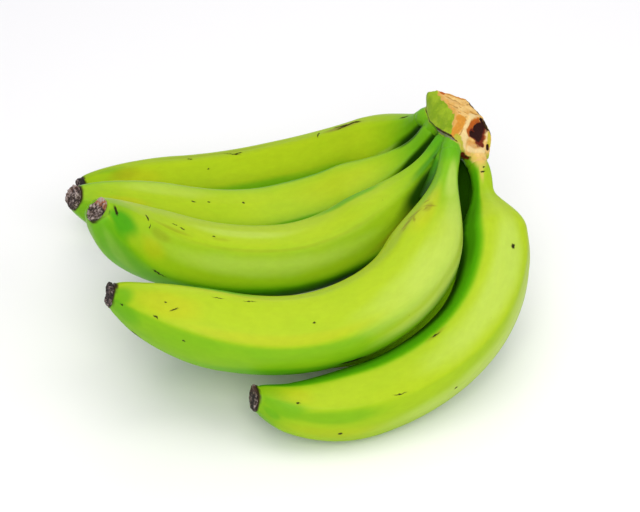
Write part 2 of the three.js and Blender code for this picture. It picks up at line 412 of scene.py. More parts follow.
# Rubs and spots on the skins: distance from the crown in millimetres, degrees round the spine, length and
# width in millimetres, degrees of slant from the finger's own direction, and how dark, from 0 to 1.
SCARS = (
    (
        (131, 38, 13, 1.0, 26, 0.8), (127, 36, 5, 1.4, -10, 0.9), (77.5, 38, 5.5, 1.1, 84, 0.9),
        (66, 50, 5, 1.4, 10, 0.8), (58, 41, 12, 2.4, -14, 1.0), (52, 45, 8, 2, 16, 0.8),
        (62, 47, 8, 2, 8, 0.8), (157, 38, 3, 1.6, 20, 0.8), (146, 12, 1.8, 1.0, 0, 0.5),
        (16, 45, 9, 1.6, -8, 0.8),
    ),
    (
        (152, -7, 3.4, 1, 10, 0.4), (142, -4, 2.6, 0.9, -10, 0.3), (120, -3, 1.8, 1.4, 0, 0.9),
    ),
    (
        (212, -67, 4.6, 1.7, 60, 1.0), (191, -40, 3.4, 1.6, 70, 1.0), (189, -55, 3.6, 0.7, 100, 0.4),
        (166, -28, 4, 1.0, 8, 0.6), (171, -25, 5, 0.8, 5, 0.4), (171, -115, 9, 0.8, 4, 0.8),
        (146, -26, 2.2, 1.2, 0, 0.4),
    ),
    (
        (209, 163, 10, 0.9, 6, 1.0), (202, -93, 1.6, 1, 0, 0.7), (197, -102, 5, 1, -35, 0.4),
        (204, -125, 3, 0.9, 20, 0.5), (222, -133, 1.6, 1.1, 0, 0.8), (189, -146, 1.5, 1.1, 0, 0.6),
        (178, -64, 8, 0.7, -4, 0.3), (162, -60, 8, 0.7, -8, 0.4), (131, -97, 1.8, 1.3, 0, 0.4),
        (117, 168, 11, 2.4, 12, 1.0),
    ),
    (
        (52, -107, 2.2, 1.9, 0, 1.0), (4.5, -92, 1.6, 0.8, 80, 1.0), (7, -84, 1.8, 0.8, 80, 1.0),
        (112, -61, 6, 0.9, 6, 0.5), (192, -102, 2, 1, 0, 0.6), (173, -161, 1.8, 1.3, 0, 0.8),
        (118, -161, 2, 1.3, 0, 0.7), (144, -113, 8, 0.7, 6, 0.3),
    ),
    ((120, -60, 4, 1, 10, 0.5), (160, 120, 6, 1.2, 0, 0.6)),
)

# How deep a scar reaches either way, in millimetres, so that the unevenness of the skin doesn't hide it.
SCAR_DEPTH = 1.5

# Faint olive scribbles on the neck of one finger, written like the rubs above.
SCRIBBLED_FINGER = 4
SCRIBBLES = (
    (41, -64, 8, 1.6, 70, 0.5), (44, -58, 5, 1.0, 20, 0.4), (47, -46, 9, 1.5, 20, 0.5),
    (52, -50, 7, 1.3, -30, 0.5), (56, -42, 9, 1.5, 12, 0.5), (50, -38, 6, 1.2, 50, 0.5),
    (60, -46, 4, 1.2, 0, 0.3), (38, -50, 4, 1.2, 40, 0.3),
)


def patch_tones(index, distances, angles, ragged):
    """How strongly each patch colour lies on each point of a finger. Its patches fade out raggedly."""
    tones = {name: np.zeros(len(distances)) for name in PATCH_COLOURS}
    for name, distance, angle, length, breadth, strength in PATCHES[index - 1]:
        across = ((angles - angle + 180) % 360 - 180) / (breadth / 2)
        reach = np.hypot((distances - distance) / (length / 2), across) + ragged * 0.25
        tones[name] = np.maximum(tones[name], strength * (1 - smooth(0.35, 1.15, reach)))
    return tones


def painted_shade_in_folds(index, points, sizes):
    """How much painted shade each point gets, from 0 to 1, for lying close below another finger."""
    fold_shade = np.zeros(len(points))
    for other, finger in enumerate(FINGERS, 1):
        if other == index:
            continue
        spine = Spine(finger)
        distance = np.linspace(0, spine.length, FOLD_STEPS)
        middle = spine.frame_at(distance)[0]
        radius = mean_radius(finger, spine.length, distance, sizes)
        away = np.linalg.norm(points[:, None] - middle[None], axis=2)
        nearest = (away - radius).argmin(axis=1)
        away = away[np.arange(len(points)), nearest]
        clear = away - radius[nearest]
        above = (middle[nearest, 2] - points[:, 2]) / away
        fold_shade = np.maximum(fold_shade, (1 - smooth(*FOLD_REACH, clear)) * smooth(0, 0.5, above))
    return fold_shade


def scar_reach(tree, skin, scars, finger, spine, sizes):
    """The least distance from the middle of a scar, as a share of its half sizes. Faint scars lie farther."""
    nearest = None
    for distance, angle, length, width, slant, dark in scars:
        at = np.array([float(distance)])
        place = ridge_place(finger, np.array([float(angle)]), at)
        radius = mean_radius(finger, spine.length, at, sizes) * (1 + ridge_lift(finger, place, at, sizes))
        turn, tilt = math.radians(angle), math.radians(slant)
        out = Vector((math.cos(turn), math.sin(turn), 0))
        around = Vector((-math.sin(turn), math.cos(turn), 0))
        lengthways = Vector((0, 0, 1)) * math.cos(tilt) + around * math.sin(tilt)
        axes = Matrix((lengthways, out.cross(lengthways), out)).transposed()
        middle = (out * float(radius[0]) + Vector((0, 0, distance))) * MM
        half = Vector((length / 2, width / 2, SCAR_DEPTH)) * MM
        local = add_node(
            tree,
            "Mapping",
            {"Vector": skin, "Location": middle, "Rotation": axes.to_euler(), "Scale": half},
            vector_type="TEXTURE",
        )
        reach = add_node(tree, "VectorMath", {0: local.outputs[0]}, operation="LENGTH").outputs["Value"]
        reach = add_node(tree, "Math", {0: reach, 1: 0.6 * (1 - dark)}, operation="ADD").outputs[0]
        if nearest is not None:
            reach = add_node(tree, "Math", {0: nearest, 1: reach}, operation="MINIMUM").outputs[0]
        nearest = reach
    return nearest


def rind_material(index, finger, spine, sizes, colours):
    """Unripe banana rind, as grown: thin wax over green flesh, which shines softly and yellows by faces. Its
    colours by faces and patches also hold painted light and shade.
    """
    material, tree, surface = new_material(f"Unripe banana rind {index}")
    skin = add_node(tree, "Attribute", attribute_name="skin").outputs["Vector"]
    colour = (*colours.shaded, 1.0)
    for name in RIND_LAYERS:
        amount = add_node(tree, "Attribute", attribute_name=name).outputs["Fac"]
        shades = {0: amount, 6: colour, 7: (*getattr(colours, name), 1.0)}
        colour = add_node(tree, "Mix", shades, data_type="RGBA").outputs[2]

    # Faint mottling, from the cells below the skin, two or three millimetres across and longer lengthways.
    drawn = add_node(tree, "Mapping", {"Vector": skin, "Scale": (1, 1, 0.5)}).outputs[0]
    cells = {"Vector": drawn, "Scale": per_metre(2.4), "Detail": 3.0, "Roughness": 0.55}
    mottle = add_node(tree, "TexNoise", cells).outputs["Fac"]
    lighter = {"Value": mottle, "From Min": 0.3, "From Max": 0.7, "To Min": 0.965, "To Max": 1.035}
    grain = add_node(tree, "MapRange", lighter).outputs[0]
    colour = add_node(tree, "HueSaturation", {"Value": grain, "Color": colour}).outputs[0]

    # Rubs and spots, with edges frayed by about half a millimetre.
    threads = {"Vector": skin, "Scale": per_metre(1.6), "Detail": 3.0}
    fray = add_node(tree, "TexNoise", threads).outputs["Color"]
    centred = add_node(tree, "VectorMath", {0: fray, 1: (0.5, 0.5, 0.5)}, operation="SUBTRACT").outputs[0]
    scaled = add_node(tree, "VectorMath", {0: centred, "Scale": 2.0 * MM}, operation="SCALE").outputs[0]
    frayed = add_node(tree, "VectorMath", {0: skin, 1: scaled}, operation="ADD").outputs[0]
    reach = scar_reach(tree, frayed, SCARS[index - 1], finger, spine, sizes)
    inside = {"Value": reach, "From Min": 1.5, "From Max": 0.7}
    scarred = add_node(tree, "MapRange", inside, interpolation_type="SMOOTHSTEP").outputs[0]
    # Pinprick spots, about one to a square of 14 millimetres.
    pricks = add_node(tree, "TexVoronoi", {"Vector": frayed, "Scale": per_metre(14), "Randomness": 1.0})
    point = {"Value": pricks.outputs["Distance"], "From Min": 0.035, "From Max": 0.015, "To Max": 0.35}
    dot = add_node(tree, "MapRange", point).outputs[0]
    marks = add_node(tree, "Math", {0: scarred, 1: dot}, operation="MAXIMUM").outputs[0]
    if index == SCRIBBLED_FINGER:
        written = scar_reach(tree, frayed, SCRIBBLES, finger, spine, sizes)
        faint = {"Value": written, "From Min": 1.6, "From Max": 0.6, "To Max": 0.75}
        olive = {0: add_node(tree, "MapRange", faint).outputs[0], 6: colour, 7: (*colours.rubbed, 1.0)}
        colour = add_node(tree, "Mix", olive, data_type="RGBA").outputs[2]
    finished = {0: marks, 6: colour, 7: (*colours.scar, 1.0)}
    colour = add_node(tree, "Mix", finished, data_type="RGBA").outputs[2]

    dull = add_node(tree, "MapRange", {"Value": marks, "To Min": 0.42, "To Max": 0.8})
    sunk = add_node(tree, "Math", {0: marks, 1: -0.6, 2: mottle}, operation="MULTIPLY_ADD").outputs[0]
    bump = add_node(tree, "Bump", {"Height": sunk, "Strength": 0.2, "Distance": 0.15 * MM})
    feed(surface, {
        "Base Color": colour, "Roughness": dull.outputs[0], "Normal": bump.outputs[0], "IOR": 1.4,
        "Specular IOR Level": finger["shine"], "Subsurface Weight": 0.1, "Subsurface Radius": (0.6, 1.0, 0.2),
        "Subsurface Scale": 2 * MM,
    })
    return material


class HAND_OT_fingers(Operator):
    """Builds the skin of every finger, from inside the crown to the dried flower"""

    bl_idname = "hand.fingers"
    bl_label = "Fingers"

    def execute(self, context):
        sizes, colours = context.scene.hand_fingers, context.scene.hand_rind
        for index, finger in enumerate(FINGERS, 1):
            self.build(index, finger, sizes, colours)
        return {"FINISHED"}

    def build(self, index, finger, sizes, colours):
        """Builds the skin of one finger."""
        spine = Spine(finger)
        along, around = sizes.steps_along, sizes.steps_round
        end = spine.length + finger["longer"]
        rings = np.linspace(SKIN_START, end, along + 1)
        point, forward, inward, beside = (np.repeat(part, around, 0) for part in spine.frame_at(rings))
        distances = np.repeat(rings, around)
        left = end - distances
        angles = np.tile(np.arange(around) * 360 / around - 180, along + 1)
        place = ridge_place(finger, angles, distances)
        # The ridges are fainter on the stalk, and the stalk is thinner inside the crown.
        lift = ridge_lift(finger, place, distances, sizes) * (0.45 + 0.55 * smooth(0, 25, distances))
        emerging = 0.78 + 0.22 * smooth(SKIN_START, 1.5, distances)
        radius = mean_radius(finger, spine.length, distances, sizes) * (1 + lift) * emerging
        across, up = radius * np.cos(np.radians(angles)), radius * np.sin(np.radians(angles))
        skin = np.stack([across, up, distances], 1)
        outward = (inward * across[:, None] + beside * up[:, None]) / radius[:, None]

        # Both kinds of unevenness are drawn out along the finger.
        clouds = noise_at(skin * (1, 1, 0.5), SWELLING[0], index)
        wisps = noise_at(skin * (1, 1, 0.4), WAVE[0], index + 9)
        points = point + outward * (radius + clouds * SWELLING[1] + wisps * WAVE[1])[:, None]
        tip_in, tip_beside = (math.tan(math.radians(lean)) for lean in finger["end_lean"])
        leaning = (across * tip_in + up * tip_beside) * (1 - smooth(0, LEANING_TIP, left))
        points -= forward * leaning[:, None]
        points[:, 2] = np.maximum(points[:, 2], LOWEST_SKIN)

        ragged = clouds * 0.7 + wisps * 0.5
        fold_shade = painted_shade_in_folds(index, points, sizes)
        tones = patch_tones(index, distances, angles, ragged)
        # The neck and the tip stay green longest. The skin close below other fingers, and faces below 0, get
        # painted shade: deep green, and nearly black near the crown.
        amount, full, gone = finger["green_neck"]
        neck = amount * (1 - smooth(full, gone, distances + ragged * 5))
        tip = finger["green_tip"] * (1 - smooth(4, 24, left + ragged * 6))
        # The yellow of the faces, and the patches that raise it, are partly painted light.
        tone = face_tone(finger, place, distances)
        sunny = tones.pop("sunny")
        tone += (1 - tone) * sunny
        tone *= smooth(*finger["yellow_from"], distances)
        tones["deep"] = np.maximum.reduce([tones["deep"] * (1 - sunny), neck, tip, fold_shade * 0.8, -tone])
        close = 1 - smooth(20, 70, distances)
        tones["dark"] = np.maximum(tones["dark"], smooth(0.6 - 0.35 * close, 1, fold_shade) * (0.25 + 0.65 * close))
        tones["sunny"] = np.clip(tone + ragged * 0.16, 0, 1)
        # The skin has scorched in a ragged rim round the flower.
        specks = noise_at(skin, 2.2, index + 30)
        rim = FLOWERS[index - 1]["rim"]
        tones["scorched"] = 1 - smooth(0, 0.8, left - rim * (0.6 + specks + wisps))
        material = rind_material(index, finger, spine, sizes, colours)
        values = {"skin": skin * MM, **tones}
        name = f"finger_skin_{index}"
        mesh = mesh_of(name, points, ring_faces(along + 1, around))
        new_piece(name, mesh, values, material, [f"finger_{index}"])


# ---- Crown ----


class LookOfCrown(PropertyGroup):
    """Size of the detail and colours of the cut crown."""

    grain: FloatProperty(name="Detail", description="Smallest facet", default=0.0004, unit="LENGTH")
    wood: colour_setting(name="Torn fibre", description="Torn and dried fibre", default="#e2bd76")
    streak: colour_setting(name="Fibre shadow", description="Between the fibres", default="#9c6c22")
    tan: colour_setting(name="Tan flesh", description="Clouds in the dry flesh", default="#d0a054")
    orange: colour_setting(name="Browned flesh", description="Browned cut flesh", default="#cb8a30")
    cream: colour_setting(name="Pale flesh", description="Dry pale flesh", default="#dfc48a")
    amber: colour_setting(name="Amber flesh", description="Flesh round the hollow", default="#bf7a26")
    yellow: colour_setting(name="Yellow flesh", description="Flesh at the skin", default="#c8b838")
    sap: colour_setting(name="Pale side", description="Thin skin at the side", default="#aeac38")
    green: colour_setting(name="Green cut", description="Fresh smooth cut", default="#82a212")
    lime: colour_setting(name="Yellower cut", description="Clouds in the cut", default="#9ab520")
    rust: colour_setting(name="Rust rim", description="Rim of the hollow", default="#ad5616")
    maroon: colour_setting(name="Maroon", description="Rotting flesh", default="#6b2310")
    rot: colour_setting(name="Rot", description="Dark rotted hollow", default="#2e100b")
    edge: colour_setting(name="Dried edge", description="Dried edge of the cut", default="#3a2710")
    lip: colour_setting(name="Dried lip", description="Curled skin below the edge", default="#7c7868")


# The block of the crown, the lower and the upper edge of its smooth cut, and a point on that cut, in the
# layout's millimetres. The facings are square to the cut, the torn top and the front, and the direction is
# that of the torn fibres.
CROWN_CORNERS = (
    (54.5, 12.5, 97), (54, 13, 95), (53.5, 6, 91), (55, -3, 89.5), (58, -9.5, 89.8), (65, -20, 92),
    (68, -11, 99), (59, 9, 100), (66, 12, 96), (74, 10, 94), (82, -3, 92), (76, -8, 95), (85, -4, 86),
    (86.5, -6, 83), (86.5, -8, 81), (85.5, -12, 78), (85, -14, 74), (74, -22, 81), (70, -22, 86),
    (68, -21, 82), (72, -18, 76), (60, 13, 85), (74, 12, 80), (82, 2, 73), (74, -3, 67), (60, 4, 77),
)
CUT_EDGE = (
    (54.5, 12.5, 97), (54, 12, 94.5), (53.5, 5, 91), (55, -3, 89.5), (58, -9.5, 90), (61, -14, 90.5),
    (65, -20, 92), (68, -21, 89.5),
)
CUT_RIM = ((60.5, 6, 100), (68, -11, 99), (66.5, -16, 95), (65, -20, 92))
CUT_FACING, CUT_POINT = (-0.69, -0.29, 0.67), (54, 13, 95)
TORN_FACING, TORN_DIRECTION = (0.39, 0.13, 0.91), (0.85, -0.44, -0.3)
FRONT_FACING = (0.66, -0.57, 0.48)
# The roots of all the stalks come together here.
CROWN_HEART = (72, -2, 84)
# Each root curves in so many steps from the heart to the first of these distances along its finger's spine,
# where it comes into line with the spine, and then follows it through the others into the finger's skin.
ROOT_STEPS, ROOT_LEAD, ROOT_DISTANCES = 8, 1.5, (-3.0, -1.5, 0.0, 1.5, 3.5)
# How much wider than the stalk it is at each step, and the share of its finger's extra root that it has.
ROOT_WIDER = np.append(np.linspace(0.4, 0.0, ROOT_STEPS), [-0.1, -0.3, -0.8, -1.2])
ROOT_EXTRA = np.append(np.ones(ROOT_STEPS), [1.0, 0.7, 0.7, 0.0])
# The web of skin between the third and fourth stalks: its steps, its length, its shift from the middle
# between their spines, and its radius at both ends.
WEB_STEPS, WEB_LENGTH, WEB_SHIFT, WEB_RADII = 8, 33, (0, 2.4, -1.9), (4.8, 2.6)
# Rounds of smoothing for the whole crown, and then for its roots alone, which run together more softly.
CROWN_ROUNDS, ROOT_ROUNDS = 3, 60
# How far outside the block the crown starts to count as a root, and does so fully.
STANDING = (0.2, 0.9)
# Heights over which the torn top and the front begin, the skin below them turns deep green as painted shade,
# and the webs between the stalks darken with painted shade, at first sharply and then slowly.
TORN_FROM, FRONT_FROM = (88, 91), (74.5, 78)
DEEP_BELOW, WEB_BELOW, WEB_DARKENS = (83, 79), (81, 79), (80, 70)

# The colours of the cut faces. Later ones lie over the ones before, and the soft ones fade out slowly.
CROWN_TONES = (
    "streak", "orange", "cream", "amber", "yellow", "sap", "green", "rust", "maroon", "rot", "lip", "edge",
)
SOFT_TONES = ("streak", "orange", "cream", "amber", "yellow", "sap", "rust", "maroon")
# Stains on the cut faces: a colour, the stain's half width in millimetres, its strength, and the line it
# follows in the layout's millimetres.
STAINS = (
    ("cream", 2.6, 1.0, (
        (79, -6, 94), (76, -7, 94), (74, -11, 93), (73, -15, 91), (71, -18, 89), (71, -21, 86),
    )),
    ("cream", 2.6, 1.0, ((75, -19, 84), (78, -17, 82), (81, -15, 81))),
    ("cream", 1.6, 1.0, ((84, -6.5, 86.5), (84, -9.5, 83))),
    ("sap", 2.4, 0.9, ((68, -19, 90), (69, -22, 87), (70, -22, 84))),
    ("orange", 2.6, 0.85, ((70, -12, 97), (71, -11.5, 96), (69.5, -14, 94.5), (66.5, -18.5, 92.5))),
    ("orange", 1.8, 0.5, CUT_RIM[:3]), ("orange", 1.6, 0.5, ((63.5, 1.5, 99.5), (64.5, -3.5, 99.5))),
    ("streak", 0.5, 0.8, ((72, -10, 96), (73, -11, 94.5), (69.5, -17, 91), (67.5, -19.5, 90.5))),
    ("amber", 0.9, 0.8, ((61.5, 9, 99), (68.5, 9.5, 96.5), (73, 9, 94.5))),
    ("amber", 2.2, 0.55, ((74, -17.5, 86), (77, -16, 84), (80, -14, 82.5))),
    ("amber", 2.6, 0.8, ((74.5, -13, 90.5), (76.5, -9.5, 92.5), (79, -7, 92))),
    ("yellow", 2.6, 0.5, ((75, -20, 80), (78, -19.5, 78), (82, -17, 77), (84, -14, 76))),
    ("yellow", 1.6, 0.9, ((85, -7, 84), (85, -10.5, 80))),
    ("rust", 2.4, 1.0, ((74.5, -14, 90), (75.5, -11.5, 91.5), (77, -9.5, 92), (79, -7.5, 91.5))),
    ("rust", 1.6, 0.7, ((77, -13.5, 86.5), (80, -12, 84.5), (82.5, -10, 84.5))),
    ("rust", 1.4, 1.0, ((61.5, 8.5, 99.5), (62, 8, 99))),
    ("maroon", 4.0, 1.0, ((81.5, -7, 88.5), (80, -10, 87), (79.5, -12, 85))),
    ("maroon", 2.8, 1.0, ((76.5, -13, 88.5), (79, -11.5, 86))),
    ("maroon", 1.4, 1.0, ((80, -13, 83.5), (81.5, -13, 81.5))),
    ("maroon", 2.3, 1.0, ((70.5, -20, 82.5), (72.5, -20, 79.5))),
    ("rot", 2.7, 1.0, ((81.5, -7, 88.5), (80, -10, 87), (79.5, -11.5, 85.5))),
    ("rot", 1.6, 1.0, ((76.5, -13, 88.5), (79, -11.5, 86))),
    ("rot", 1.6, 1.0, ((78, -10, 90), (79.5, -8, 90))),
    ("rot", 1.3, 1.0, ((84.8, -11.5, 79.8), (84.8, -12, 79))),
    ("rot", 1.2, 1.0, ((81, -4.5, 92), (83, -4.5, 89.5), (84.5, -5, 86.5))),
    ("lip", 0.9, 1.0, ((58.5, -11, 89), (62, -16, 89.5), (66, -21, 90.5))),
    ("edge", 0.6, 0.8, ((74, 10, 94), (77, 5, 93.3), (81, -2, 92.3), (84.5, -4, 87), (86.5, -6, 83))),
    ("edge", 0.35, 1.0, CUT_EDGE[:5]), ("edge", 0.6, 1.0, CUT_EDGE[4:7]), ("edge", 0.4, 0.9, CUT_EDGE[6:]),
)


def distance_to_line(points, line):
    """Distance in millimetres from points to a line of straight stretches."""
    best = np.full(len(points), 1e9)
    for a, b in zip(line[:-1], line[1:]):
        a, b = np.array(a, float), np.array(b, float)
        run = b - a
        t = np.clip((points - a) @ run / (run @ run), 0, 1)
        best = np.minimum(best, np.linalg.norm(points - a - t[:, None] * run, axis=1))
    return best


def add_tube(mesh, line, radii, sides=24):
    """Adds a closed tube along a line to a bmesh, in millimetres."""
    corners = []
    side = None
    for point, direction, radius in zip(line, np.gradient(line, axis=0), radii):
        direction = Vector(direction).normalized()
        side = direction.orthogonal() if side is None else side - direction * side.dot(direction)
        side.normalize()
        other = direction.cross(side)
        for k in range(sides):
            turn = 2 * math.pi * k / sides
            out = side * math.cos(turn) + other * math.sin(turn)
            corners.append(mesh.verts.new(Vector(point) + out * radius))
    for face in ring_faces(len(line), sides):
        mesh.faces.new([corners[k] for k in face])


def remeshed(name, mesh, size):
    """The outside of overlapping closed shapes, given in metres, as one even mesh."""
    data = bpy.data.meshes.new(name)
    mesh.to_mesh(data)
    mesh.free()
    piece = bpy.data.objects.new(name, data)
    bpy.context.scene.collection.objects.link(piece)
    modifier = piece.modifiers.new("Even", "REMESH")
    modifier.mode = "VOXEL"
    modifier.voxel_size = size
    evaluated = piece.evaluated_get(bpy.context.evaluated_depsgraph_get())
    result = bpy.data.meshes.new_from_object(evaluated)
    bpy.data.objects.remove(piece)
    bpy.data.meshes.remove(data)
    return result


def relax(points, edges, rounds):
    """Moves each point halfway to the middle of its neighbours, as many times as there are rounds."""
    count = np.bincount(edges.ravel(), minlength=len(points))[:, None]
    for _ in range(rounds):
        sums = []
        for part in points.T:
            both_ways = (edges.T, edges.T[::-1])
            sums.append(sum(np.bincount(to, part[here], len(points)) for to, here in both_ways))
        points = points + (np.stack(sums, 1) / count - points) * 0.5
    return points


def outside(points, walls):
    """How far points lie outside a block with those walls, in millimetres."""
    return np.max([(points - middle) @ facing for middle, facing in walls], axis=0)


def vectors_of(values, key):
    """The positions or normals of a mesh's points."""
    flat = np.zeros(len(values) * 3, np.float32)
    values.foreach_get(key, flat)
    return flat.reshape(-1, 3).astype(float)


def crown_material(look, rind):
    """Cut banana crown: fibrous flesh, smooth and green where it was sliced and dry where it was torn."""
    material, tree, surface = new_material("Cut banana crown")
    place = add_node(tree, "TexCoord").outputs["Object"]
    # Clouds half a centimetre across, and crumbs of about a millimetre.
    clouds = {"Vector": place, "Scale": per_metre(5), "Detail": 4.0, "Roughness": 0.6}
    coarse = add_node(tree, "TexNoise", clouds).outputs["Fac"]
    crumbs = {"Vector": place, "Scale": per_metre(1.2), "Detail": 4.0, "Roughness": 0.65}
    fine = add_node(tree, "TexNoise", crumbs).outputs["Fac"]

    # Skin at the sides and the roots of the stalks, then dry flesh on the cut faces. The skin's darkest green
    # is painted shade, and its deep green partly so.
    skin = (*rind.shaded, 1.0)
    for name in ("deep", "dark"):
        amount = add_node(tree, "Attribute", attribute_name=name).outputs["Fac"]
        shades = {0: amount, 6: skin, 7: (*getattr(rind, name), 1.0)}
        skin = add_node(tree, "Mix", shades, data_type="RGBA").outputs[2]
    clouded = []
    for low, high, under, over in ((0.35, 0.65, look.wood, look.tan), (0.42, 0.6, look.green, look.lime)):
        amount = add_node(tree, "MapRange", {"Value": coarse, "From Min": low, "From Max": high}).outputs[0]
        shades = {0: amount, 6: (*under, 1.0), 7: (*over, 1.0)}
        clouded.append(add_node(tree, "Mix", shades, data_type="RGBA").outputs[2])
    dry, cut = clouded
    flesh = add_node(tree, "Attribute", attribute_name="flesh").outputs["Fac"]
    colour = add_node(tree, "Mix", {0: flesh, 6: skin, 7: dry}, data_type="RGBA").outputs[2]

    # Every stain's border is frayed by the fine grain of the flesh, and some fade out slowly.
    for name in CROWN_TONES:
        value = add_node(tree, "Attribute", attribute_name=name).outputs["Fac"]
        frayed = add_node(tree, "Math", {0: fine, 1: 0.5, 2: value}, operation="MULTIPLY_ADD").outputs[0]
        spread = {"Value": frayed, "From Min": 0.42, "From Max": 1.1 if name in SOFT_TONES else 0.85}
        amount = add_node(tree, "MapRange", spread, interpolation_type="SMOOTHSTEP").outputs[0]
        over = cut if name == "green" else (*getattr(look, name), 1.0)
        colour = add_node(tree, "Mix", {0: amount, 6: colour, 7: over}, data_type="RGBA").outputs[2]
    grain = {"Value": fine, "From Min": 0.3, "From Max": 0.7, "To Min": 0.9, "To Max": 1.08}
    lighter = add_node(tree, "MapRange", grain).outputs[0]
    colour = add_node(tree, "HueSaturation", {"Value": lighter, "Color": colour}).outputs[0]
    dull = add_node(tree, "MapRange", {"Value": flesh, "To Min": 0.45, "To Max": 0.85})
    bump = add_node(tree, "Bump", {"Height": fine, "Strength": 0.6, "Distance": 0.25 * MM})
    feed(surface, {
        "Base Color": colour, "Roughness": dull.outputs[0], "Normal": bump.outputs[0], "IOR": 1.4,
        "Specular IOR Level": 0.25, "Subsurface Weight": 0.1, "Subsurface Radius": (1.0, 0.7, 0.3),
        "Subsurface Scale": 1.2 * MM,
    })
    return material


class HAND_OT_crown(Operator):
    """Builds the cut crown with the roots of the stalks running out of it"""

    bl_idname = "hand.crown"
    bl_label = "Crown"

    def execute(self, context):
        scene = context.scene
        mesh, walls, roots = self.shape(scene.hand_fingers, scene.hand_crown)
        points = vectors_of(mesh.vertices, "co") / MM
        edges = np.zeros(len(mesh.edges) * 2, np.int32)
        mesh.edges.foreach_get("vertices", edges)
        edges = edges.reshape(-1, 2)
        points = relax(points, edges, CROWN_ROUNDS)
        rounded = relax(points, edges, ROOT_ROUNDS)
        points += (rounded - points) * smooth(*STANDING, outside(points, walls))[:, None]
        mesh.vertices.foreach_set("co", (points * MM).ravel())
        mesh.update()
        normals = vectors_of(mesh.vertices, "normal")
        values, lift = self.paint(points, normals, walls, roots)
        points = points + normals * lift[:, None] + LAYOUT_SHIFT
        mesh.vertices.foreach_set("co", (points * MM).ravel())
        mesh.update()
        material = crown_material(scene.hand_crown, scene.hand_rind)
        new_piece("crown_cut", mesh, values, material, ["crown"])
        return {"FINISHED"}

    def shape(self, sizes, look):
        """The faceted block with every stalk's root as one mesh, its walls, and where the stalks leave it."""
        shape = bmesh.new()
        corners = [shape.verts.new(corner) for corner in CROWN_CORNERS]
        hull = bmesh.ops.convex_hull(shape, input=corners)
        bmesh.ops.delete(shape, geom=[v for v in hull["geom_interior"] if isinstance(v, bmesh.types.BMVert)])
        bmesh.ops.recalc_face_normals(shape, faces=shape.faces)
        walls = [(np.array(face.calc_center_median()), np.array(face.normal)) for face in shape.faces]
        heart = np.array(CROWN_HEART, float)
        stalk = sizes.stalk_radius / MM
        roots = []
        for finger in FINGERS:
            point, along, _, _ = Spine(finger).frame_at(np.array(ROOT_DISTANCES))
            point = point - LAYOUT_SHIFT
            t = np.linspace(1, 0, ROOT_STEPS)[:, None]
            lead = point[0] - along[0] * ROOT_LEAD
            root = (1 - t) ** 2 * point[0] + 2 * (1 - t) * t * lead + t**2 * heart
            radii = stalk + finger["root"] * ROOT_EXTRA + ROOT_WIDER
            add_tube(shape, np.vstack([root, point[1:]]), radii)
            roots.append(point[1])
        # A web of skin joins the third and fourth stalks below the crown.
        steps = np.linspace(0, WEB_LENGTH, WEB_STEPS)
        third, fourth = (Spine(FINGERS[k]).frame_at(steps)[0] - LAYOUT_SHIFT for k in (2, 3))
        add_tube(shape, (third + fourth) / 2 + np.array(WEB_SHIFT), np.linspace(*WEB_RADII, WEB_STEPS))
        bmesh.ops.recalc_face_normals(shape, faces=shape.faces)
        bmesh.ops.scale(shape, vec=(MM, MM, MM), verts=shape.verts)
        return remeshed("crown_cut", shape, look.grain), walls, roots

    def paint(self, points, normals, walls, roots):
        """How strongly each colour lies on each point, and how far the point stands up, in millimetres."""
        depth = (points - np.array(CUT_POINT)) @ np.array(CUT_FACING)
        ragged = noise_at(points, 3, 3) + 0.5 * noise_at(points, 1.2, 4)
        green = smooth(0.72, 0.92, normals @ np.array(CUT_FACING) + ragged * 0.06) * smooth(-2.5, -1.2, depth)
        torn = smooth(0.3, 0.7, normals @ np.array(TORN_FACING)) * smooth(*TORN_FROM, points[:, 2])
        torn *= 1 - green
        front = smooth(0.2, 0.6, normals @ np.array(FRONT_FACING))
        front *= smooth(*FRONT_FROM, points[:, 2] + ragged)
        values = {name: np.zeros(len(points)) for name in CROWN_TONES}
        # Distances in millimetres from where the last two stalks leave the crown.
        from_fifth, from_hidden = (np.linalg.norm(points - root, axis=1) for root in roots[4:])
        # The roots that stand out of the block are skin, but for the fifth, whose top is bare.
        standing = smooth(*STANDING, outside(points, walls)) * smooth(7, 10, from_fifth)
        green *= 1 - standing
        # Brown flesh eats raggedly into the smooth cut along its upper edge.
        fringe = smooth(0, 1.5, distance_to_line(points, CUT_RIM) - 0.5 + ragged * 1.3)
        values["green"] = green * fringe
        values["flesh"] = np.maximum(np.maximum(torn, front) * (1 - standing), green * (1 - fringe))
        # The skin low on the crown is painted deep green as shade.
        values["deep"] = smooth(*DEEP_BELOW, points[:, 2]) * smooth(9, 12, from_fifth)
        # Below the cut the roots and the web get painted shade where they face down and lie in each other's
        # shade, and the hidden finger's root is painted nearly black as shade.
        hidden = 1 - smooth(6, 10, from_hidden)
        low = smooth(0.1, 0.6, -normals[:, 2]) * smooth(2, 6, -depth)
        web = smooth(*WEB_BELOW, points[:, 2]) * (0.35 + 0.65 * smooth(*WEB_DARKENS, points[:, 2]))
        web *= smooth(10, 13, from_fifth)
        values["dark"] = np.maximum.reduce([hidden, low * 0.8, web])
        for finger, root in zip(FINGERS, roots):
            near = 1 - smooth(5, 10, np.linalg.norm(points - root, axis=1))
            values["deep"] = np.maximum(values["deep"], finger["green_neck"][0] * near)
        for name, width, strength, line in STAINS:
            reach = distance_to_line(points, line) / width + ragged * min(0.3, 0.12 * width)
            values[name] = np.maximum(values[name], strength * (1 - smooth(0.5, 1.3, reach)) * (1 - standing))

